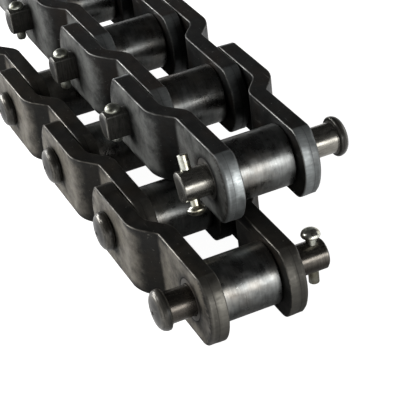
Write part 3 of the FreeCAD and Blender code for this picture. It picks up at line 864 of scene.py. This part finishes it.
# The rivets are zinc-plated and round-headed. Those of the closed joints are hammered down on
# the pin and swell below it; the loose ones of the end pins still stand off their seat.
RIVET_RADIUS = 0.0027
RIVET_HEAD = 0.0049
RIVET_HEAD_HEIGHT = 0.0038
RIVET_LENGTH = 0.031
STAND_OFF = 0.004
SET_HEAD = 0.0044
SET_HEAD_HEIGHT = 0.0038
TAIL_RADIUS = 0.0028
SHORT_TAIL = 0.002
LONG_TAIL = 0.0046
RIVET_SEAT = 0.00796
NECK_HEIGHT = 0.0014
RIVET_STEPS = 48
LIP_SHARE = 0.12
SPANGLE_RELIEF = 0.00005


def rivet_mesh(name, centre, lean, flip, profile):
    """A rivet turned about an upright axis that leans towards +X, head up, or down if flipped."""
    radii, heights = np.array(profile).T
    angle = np.linspace(0, 2 * math.pi, RIVET_STEPS + 1)[:-1]
    across = radii[:, None] * np.cos(angle)
    along = radii[:, None] * np.sin(angle)
    height = np.repeat(heights[:, None], len(angle), 1) * flip
    points = np.stack([across * math.cos(lean) + height * math.sin(lean), along,
                       height * math.cos(lean) - across * math.sin(lean)], -1)
    return mesh_object(name, points + centre, grid_faces(len(radii), len(angle), True))


def dome(radius, seat, height, steps=8):
    """A round head's profile from its crown to the seat: a flattened quarter ellipse and a lip."""
    turning = np.linspace(0, math.pi / 2, steps + 1)
    lip = height * LIP_SHARE
    crown = [(radius * math.sin(angle), seat + lip + (height - lip) * math.cos(angle))
             for angle in turning]
    return crown + [(radius * 0.96, seat)]


def set_rivet_profile(tail):
    """Flattened head, hidden shank and swollen tail."""
    end = -RIVET_SEAT - tail
    return dome(SET_HEAD, RIVET_SEAT, SET_HEAD_HEIGHT) + [
        (RIVET_RADIUS, RIVET_SEAT), (RIVET_RADIUS, -RIVET_SEAT), (TAIL_RADIUS, -RIVET_SEAT),
        (TAIL_RADIUS, -RIVET_SEAT - tail * 0.75), (TAIL_RADIUS * 0.8, end), (0, end)]


def loose_rivet_profile():
    """Round head that tapers into a straight stem, which is cut off square."""
    seat = RIVET_SEAT + STAND_OFF
    end = seat + RIVET_HEAD_HEIGHT - RIVET_LENGTH
    neck = [(RIVET_HEAD - (RIVET_HEAD - RIVET_RADIUS) * share, seat - NECK_HEIGHT * share ** 1.5)
            for share in (0.2, 0.4, 0.6, 0.8, 1.0)]
    return dome(RIVET_HEAD, seat, RIVET_HEAD_HEIGHT) + neck + [
        (RIVET_RADIUS, end + 0.0003), (RIVET_RADIUS - 0.0003, end), (0, end)]


def zinc_material(name, bright, dull, smooth, rough):
    """Zinc plating: smeared from bright to dull, with a fine spangle in its gloss and relief."""
    material, tree, output = new_material(name)
    shader = tree.nodes.new("ShaderNodeBsdfPrincipled")
    shader.inputs["Metallic"].default_value = 1.0
    coordinates = tree.nodes.new("ShaderNodeTexCoord").outputs["Object"]
    spangle = noise_node(tree, coordinates, 500.0, 3.0, 0.6)
    smear = noise_node(tree, coordinates, 170.0, 3.0, 0.6)
    smeared = mix_colours(tree, ramp_node(tree, smear, 0.42, 0.62), bright, dull)
    tree.links.new(smeared, shader.inputs["Base Color"])
    tree.links.new(ramp_node(tree, spangle, 0.3, 0.7, smooth, rough), shader.inputs["Roughness"])
    bump = tree.nodes.new("ShaderNodeBump")
    bump.inputs["Distance"].default_value = SPANGLE_RELIEF
    tree.links.new(spangle, bump.inputs["Height"])
    tree.links.new(bump.outputs["Normal"], shader.inputs["Normal"])
    tree.links.new(shader.outputs[0], output.inputs["Surface"])
    return material


fresh_zinc = zinc_material("rivet_zinc_fresh", bright=(0.56, 0.57, 0.51),
                           dull=(0.36, 0.34, 0.26), smooth=0.22, rough=0.42)
hammered_zinc = zinc_material("rivet_zinc_hammered", bright=(0.37, 0.38, 0.34),
                              dull=(0.21, 0.21, 0.17), smooth=0.32, rough=0.50)
for strand, head_side in STRANDS.items():
    for number in range(1, LINKS + 1):
        low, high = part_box(f"{strand}_rivet_{number}")
        centre = link_centre(strand, number)
        centre[1] = (low.y + high.y) / 2
        node = f"{strand}_rivet_{number}"
        if number == 1:
            turn = END_PIN_ANGLE[strand]
            body = f"{strand}_end_pin"
            lean = turn if strand == "upper" else 0.0
            zinc = fresh_zinc
            rivet = rivet_mesh("zinc_" + node, centre, lean, 1, loose_rivet_profile())
        else:
            tail = SHORT_TAIL if number == 2 else LONG_TAIL
            body = f"{strand}_link_{number - 1}"
            zinc = hammered_zinc
            rivet = rivet_mesh("zinc_" + node, centre, 0.0, head_side, set_rivet_profile(tail))
        finish_piece(rivet, zinc, body, node)
